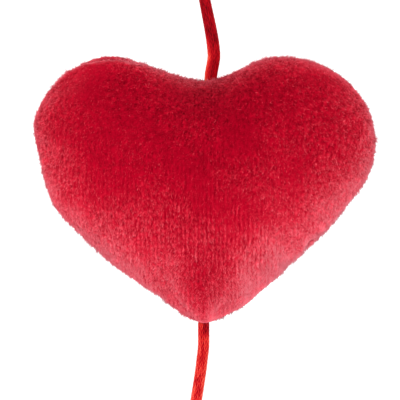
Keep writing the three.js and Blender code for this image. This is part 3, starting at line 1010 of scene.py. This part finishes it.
def panel_piece(name, stands_for, facing, coarse):
    """A panel of plush with its pile: outer face, inner face and the allowance turned in at the seam."""
    cells = COARSE * FINER
    fine = finer(coarse, FINER)
    radius, turn = disk_grid(cells)
    normals = normals_of(fine, facing)
    seam_distance = (1 - radius) * CROWN_TO_SEAM
    shown = seam_shown(turn)
    # painted shade from the pile's relief
    height, relief_shade, crushed = plush_detail(fine, normals, seam_distance, shown)
    # painted light and shade over the whole panel
    painted_pile_tone = painted_pile_light(fine, normals, crushed)
    outer = fine + normals * height[..., None]
    inner = coarse - normals_of(coarse, facing) * FABRIC
    rim = grid_rim(COARSE)
    seam = coarse.reshape(-1, 3)[rim]
    inward = unit(-from_middle(seam))

    def moved_in(distance, y):
        return np.stack([seam[:, 0] + inward[:, 0] * distance, seam[:, 1] + facing * y,
                         seam[:, 2] + inward[:, 1] * distance], -1)

    inner_flat = inner.reshape(-1, 3)
    inner_flat[rim] = moved_in(FABRIC, ALLOWANCE_THICKNESS)
    vertices = np.vstack([outer.reshape(-1, 3), inner_flat, moved_in(ALLOWANCE_WIDTH, ALLOWANCE_THICKNESS),
                          moved_in(ALLOWANCE_WIDTH, 0)])
    outer_count, inner_count, loop = outer.reshape(-1, 3).shape[0], len(inner_flat), len(rim)
    outer_rim = grid_rim(cells)
    inner_rim = outer_count + rim
    back_rim = outer_count + inner_count + np.arange(loop)
    face_rim = back_rim + loop
    flip = slice(None, None, 1 if facing < 0 else -1)

    def after(ring):
        return np.roll(ring, -1)

    quads = [grid_quads(cells, facing), grid_quads(COARSE, -facing, outer_count)]
    quads.append(np.stack([inner_rim, after(inner_rim), after(back_rim), back_rim], -1)[:, flip])
    quads.append(np.stack([back_rim, after(back_rim), after(face_rim), face_rim], -1)[:, flip])
    triangles = [np.stack([face_rim, after(face_rim), after(outer_rim[::FINER])], -1)[:, flip]]
    for k in range(FINER):
        here, there = outer_rim[k::FINER], after(outer_rim)[k::FINER]
        triangles.append(np.stack([face_rim, there, here], -1)[:, flip])
    rest = len(vertices) - outer_count
    piece = mesh_object(name, vertices, np.vstack(quads), np.vstack(triangles), {
        "tone": np.concatenate([(painted_pile_tone + relief_shade).ravel(), np.full(rest, 0.2)]),
    })
    dress(piece, "plush", "heart", stands_for)
    clear = seam_distance / (1 + 0.8 * shown)
    pile = pile_piece(name + "_pile", outer, normals, painted_pile_tone + 0.8 * relief_shade, crushed, clear,
                      SEED + 40 + facing)
    return inner


FILLING_INSET = 2.6 * MM  # how far in from the seam line the filling stays


def stuffing_piece(inner_faces):
    """The filling: a lumpy body that fills the panels out and stays clear of the turned-in allowances."""
    radius, _ = disk_grid(COARSE)
    halves = []
    for inner, facing in zip(inner_faces, (-1, 1)):
        room = 0.35 * MM + 0.35 * MM * (1 + noise(inner.reshape(-1, 3), 3.5 * MM, 21)).reshape(radius.shape)
        points = inner - normals_of(inner, facing) * room[..., None]
        flat = from_middle(points)
        turn, far = np.arctan2(flat[..., 1], flat[..., 0]), np.linalg.norm(flat, axis=-1)
        most = seam_radius(turn) - FILLING_INSET
        shrink = np.minimum(1, most / np.maximum(far, 1e-9))
        low = ALLOWANCE_THICKNESS + 0.6 * MM
        edge = smooth(radius, 0.9, 1.0)
        y = facing * np.maximum(np.abs(points[..., 1]), low) * (1 - edge)
        shrink = shrink * (1 - 0.16 * edge)
        halves.append(placed(flat * shrink[..., None], y))
    points, quads, _ = sewn(*halves)
    piece = mesh_object("fibre_filling", points, quads)
    dress(piece, "fibre_fill", "heart", "stuffing")


stuffing_piece([
    panel_piece("plush_front", "front_panel", -1, COARSE_FACES[0]),
    panel_piece("plush_back", "back_panel", 1, COARSE_FACES[1]),
])

# ---- stitching and the cord inside

THREAD_RADIUS = 0.25 * MM
THREAD_INSET = 0.85 * MM
BESIDE_CORD = 2.75 * MM  # along the seam, from the cord's axis to the end of a thread
CLOSING_START, CLOSING_END = 16 * MM, 42 * MM  # the hand-closed opening, along the seam from the tip
CLOSING_STITCH = 3 * MM
CLOSING_SWAY = 0.65 * MM
THREAD_GAP = 0.55 * MM  # from the hand stitches to the machine stitches beside them
THREAD_STEP = 0.2 * MM
MACHINE_STITCH = 2.4 * MM
STITCH_DIP = 0.06 * MM


def seam_path():
    """The seam as it lies between the panels, from the tip, anticlockwise seen from the front."""
    rim = grid_rim(COARSE)
    line = sum(points.reshape(-1, 3)[rim] for points in COARSE_FACES) / 2
    line = np.roll(line, -int(np.argmin(np.linalg.norm(line - [TIP[0], 0, HEART_LOW], axis=1))), axis=0)
    return resampled(np.vstack([line, line[:1]]), 0.4 * MM)


SEAM = seam_path()
SEAM_RUN = run_along(SEAM)
NOTCH_RUN = SEAM_RUN[np.argmin(np.linalg.norm(SEAM - (NOTCH - [0, 0, 0.9 * MM]), axis=1))]


def in_seam(distance, inset):
    """Places that far along the seam from the tip and that far in from it."""
    point = np.stack([np.interp(distance, SEAM_RUN, SEAM[:, k]) for k in range(3)], -1)
    point[:, [0, 2]] -= unit(from_middle(point)) * np.reshape(inset, (-1, 1))
    return point


def thread_piece(name, line, stands_for):
    vertices, quads, triangles, _, _ = tube(line, THREAD_RADIUS, braid=THREAD_TWIST)
    dress(mesh_object(name, vertices, quads, triangles), "sewing_thread", "heart", stands_for)


def seam_stitches(start, end):
    """Machine stitches: the thread dips a little at each one."""
    distance = np.arange(start, end, THREAD_STEP)
    return in_seam(distance, THREAD_INSET + STITCH_DIP * np.cos(2 * np.pi * distance / MACHINE_STITCH))


def tack_ring(node_name):
    """One open turn of thread round the cord."""
    low, high = low_high(node_name)
    centre = (low + high) / 2
    turn = np.linspace(0.02, 2 * np.pi - 0.02, 90)
    reach = (high - low)[0] / 2 - THREAD_RADIUS
    return centre + reach * np.stack([np.cos(turn), np.sin(turn), 0 * turn], -1)


closing_run = np.arange(CLOSING_START, CLOSING_END, THREAD_STEP)
closing_turn = 2 * np.pi * (closing_run - CLOSING_START) / CLOSING_STITCH
closing_inset = THREAD_INSET + CLOSING_SWAY * (1 - np.cos(closing_turn))
thread_piece("tip_seam_stitches", seam_stitches(BESIDE_CORD, CLOSING_START - THREAD_GAP), "tip_seam_thread")
thread_piece("closing_stitches", in_seam(closing_run, closing_inset), "closing_thread")
thread_piece("right_seam_stitches", seam_stitches(CLOSING_END + THREAD_GAP, NOTCH_RUN - BESIDE_CORD),
             "right_seam_thread")
thread_piece("left_seam_stitches", seam_stitches(NOTCH_RUN + BESIDE_CORD, SEAM_RUN[-1] - BESIDE_CORD),
             "left_seam_thread")
thread_piece("notch_tack_stitch", tack_ring("notch_tack"), "notch_tack")
thread_piece("tip_tack_stitch", tack_ring("tip_tack"), "tip_tack")

inner_low, inner_high = low_high("inner_cord")
inner_line = through(np.array([
    [NOTCH[0], 0, inner_high[2] - 0.1 * MM], [NOTCH[0] - 0.3 * MM, 0, HEART_LOW + 0.72 * HEART_HEIGHT],
    [0.6 * MM, 0, MIDDLE[1]], [0, 0, HEART_LOW + 0.25 * HEART_HEIGHT],
    [TIP[0], 0, HEART_LOW + 0.08 * HEART_HEIGHT], [TIP[0], 0, inner_low[2] + 0.1 * MM],
]), CORD_STEP)
cord_piece("inner_cord_satin", inner_line, dim_painted_light, "heart", "inner_cord")

# ---- light and floor


def area_light(name, power, size, place, aim):
    lamp = bpy.data.objects.new(name, bpy.data.lights.new(name, "AREA"))
    lamp.data.energy, lamp.data.size = power, size
    lamp.location = place
    direction = np.array(aim) - np.array(place)
    turn = math.atan2(direction[1], direction[0]) - math.pi / 2
    lift = math.atan2(direction[2], math.hypot(direction[0], direction[1]))
    lamp.rotation_euler = (lift + math.pi / 2, 0, turn)
    bpy.context.scene.collection.objects.link(lamp)


world = bpy.data.worlds.new("studio")
world.use_nodes = True
sky = world.node_tree.nodes["Background"]
sky.inputs["Color"].default_value = (1, 1, 1, 1)
sky.inputs["Strength"].default_value = 1.2
bpy.context.scene.world = world
HEART = [0, 0, float(MIDDLE[1])]
area_light("key", 1.6, 0.5, (-0.35, -0.7, HEART[2] + 0.35), HEART)
area_light("low_fill", 3.3, 0.6, (-0.1, -0.6, HEART[2] - 0.35), HEART)

FLOOR_Z = -0.26  # clear of the cord's lower end in every pose
FLOOR_RADIUS = 1.7
floor_mesh = bpy.data.meshes.new("floor")
around = [(FLOOR_RADIUS * math.cos(a), FLOOR_RADIUS * math.sin(a), FLOOR_Z)
          for a in np.linspace(0, 2 * math.pi, 64, endpoint=False)]
floor_mesh.from_pydata(around, [], [tuple(range(64))])
floor = bpy.data.objects.new("floor", floor_mesh)
bpy.context.scene.collection.objects.link(floor)
floor_look, floor_tree, floor_shader = principled("floor", Roughness=0.9, Base_Color=(0.86, 0.86, 0.86, 1))
floor_mesh.materials.append(floor_look)

# ---- the CAD nodes' materials

for cad in frame["nodes"].values():
    for holder in cad.material_slots:
        holder.material = MATERIALS[holder.material.name.split(".")[0]]
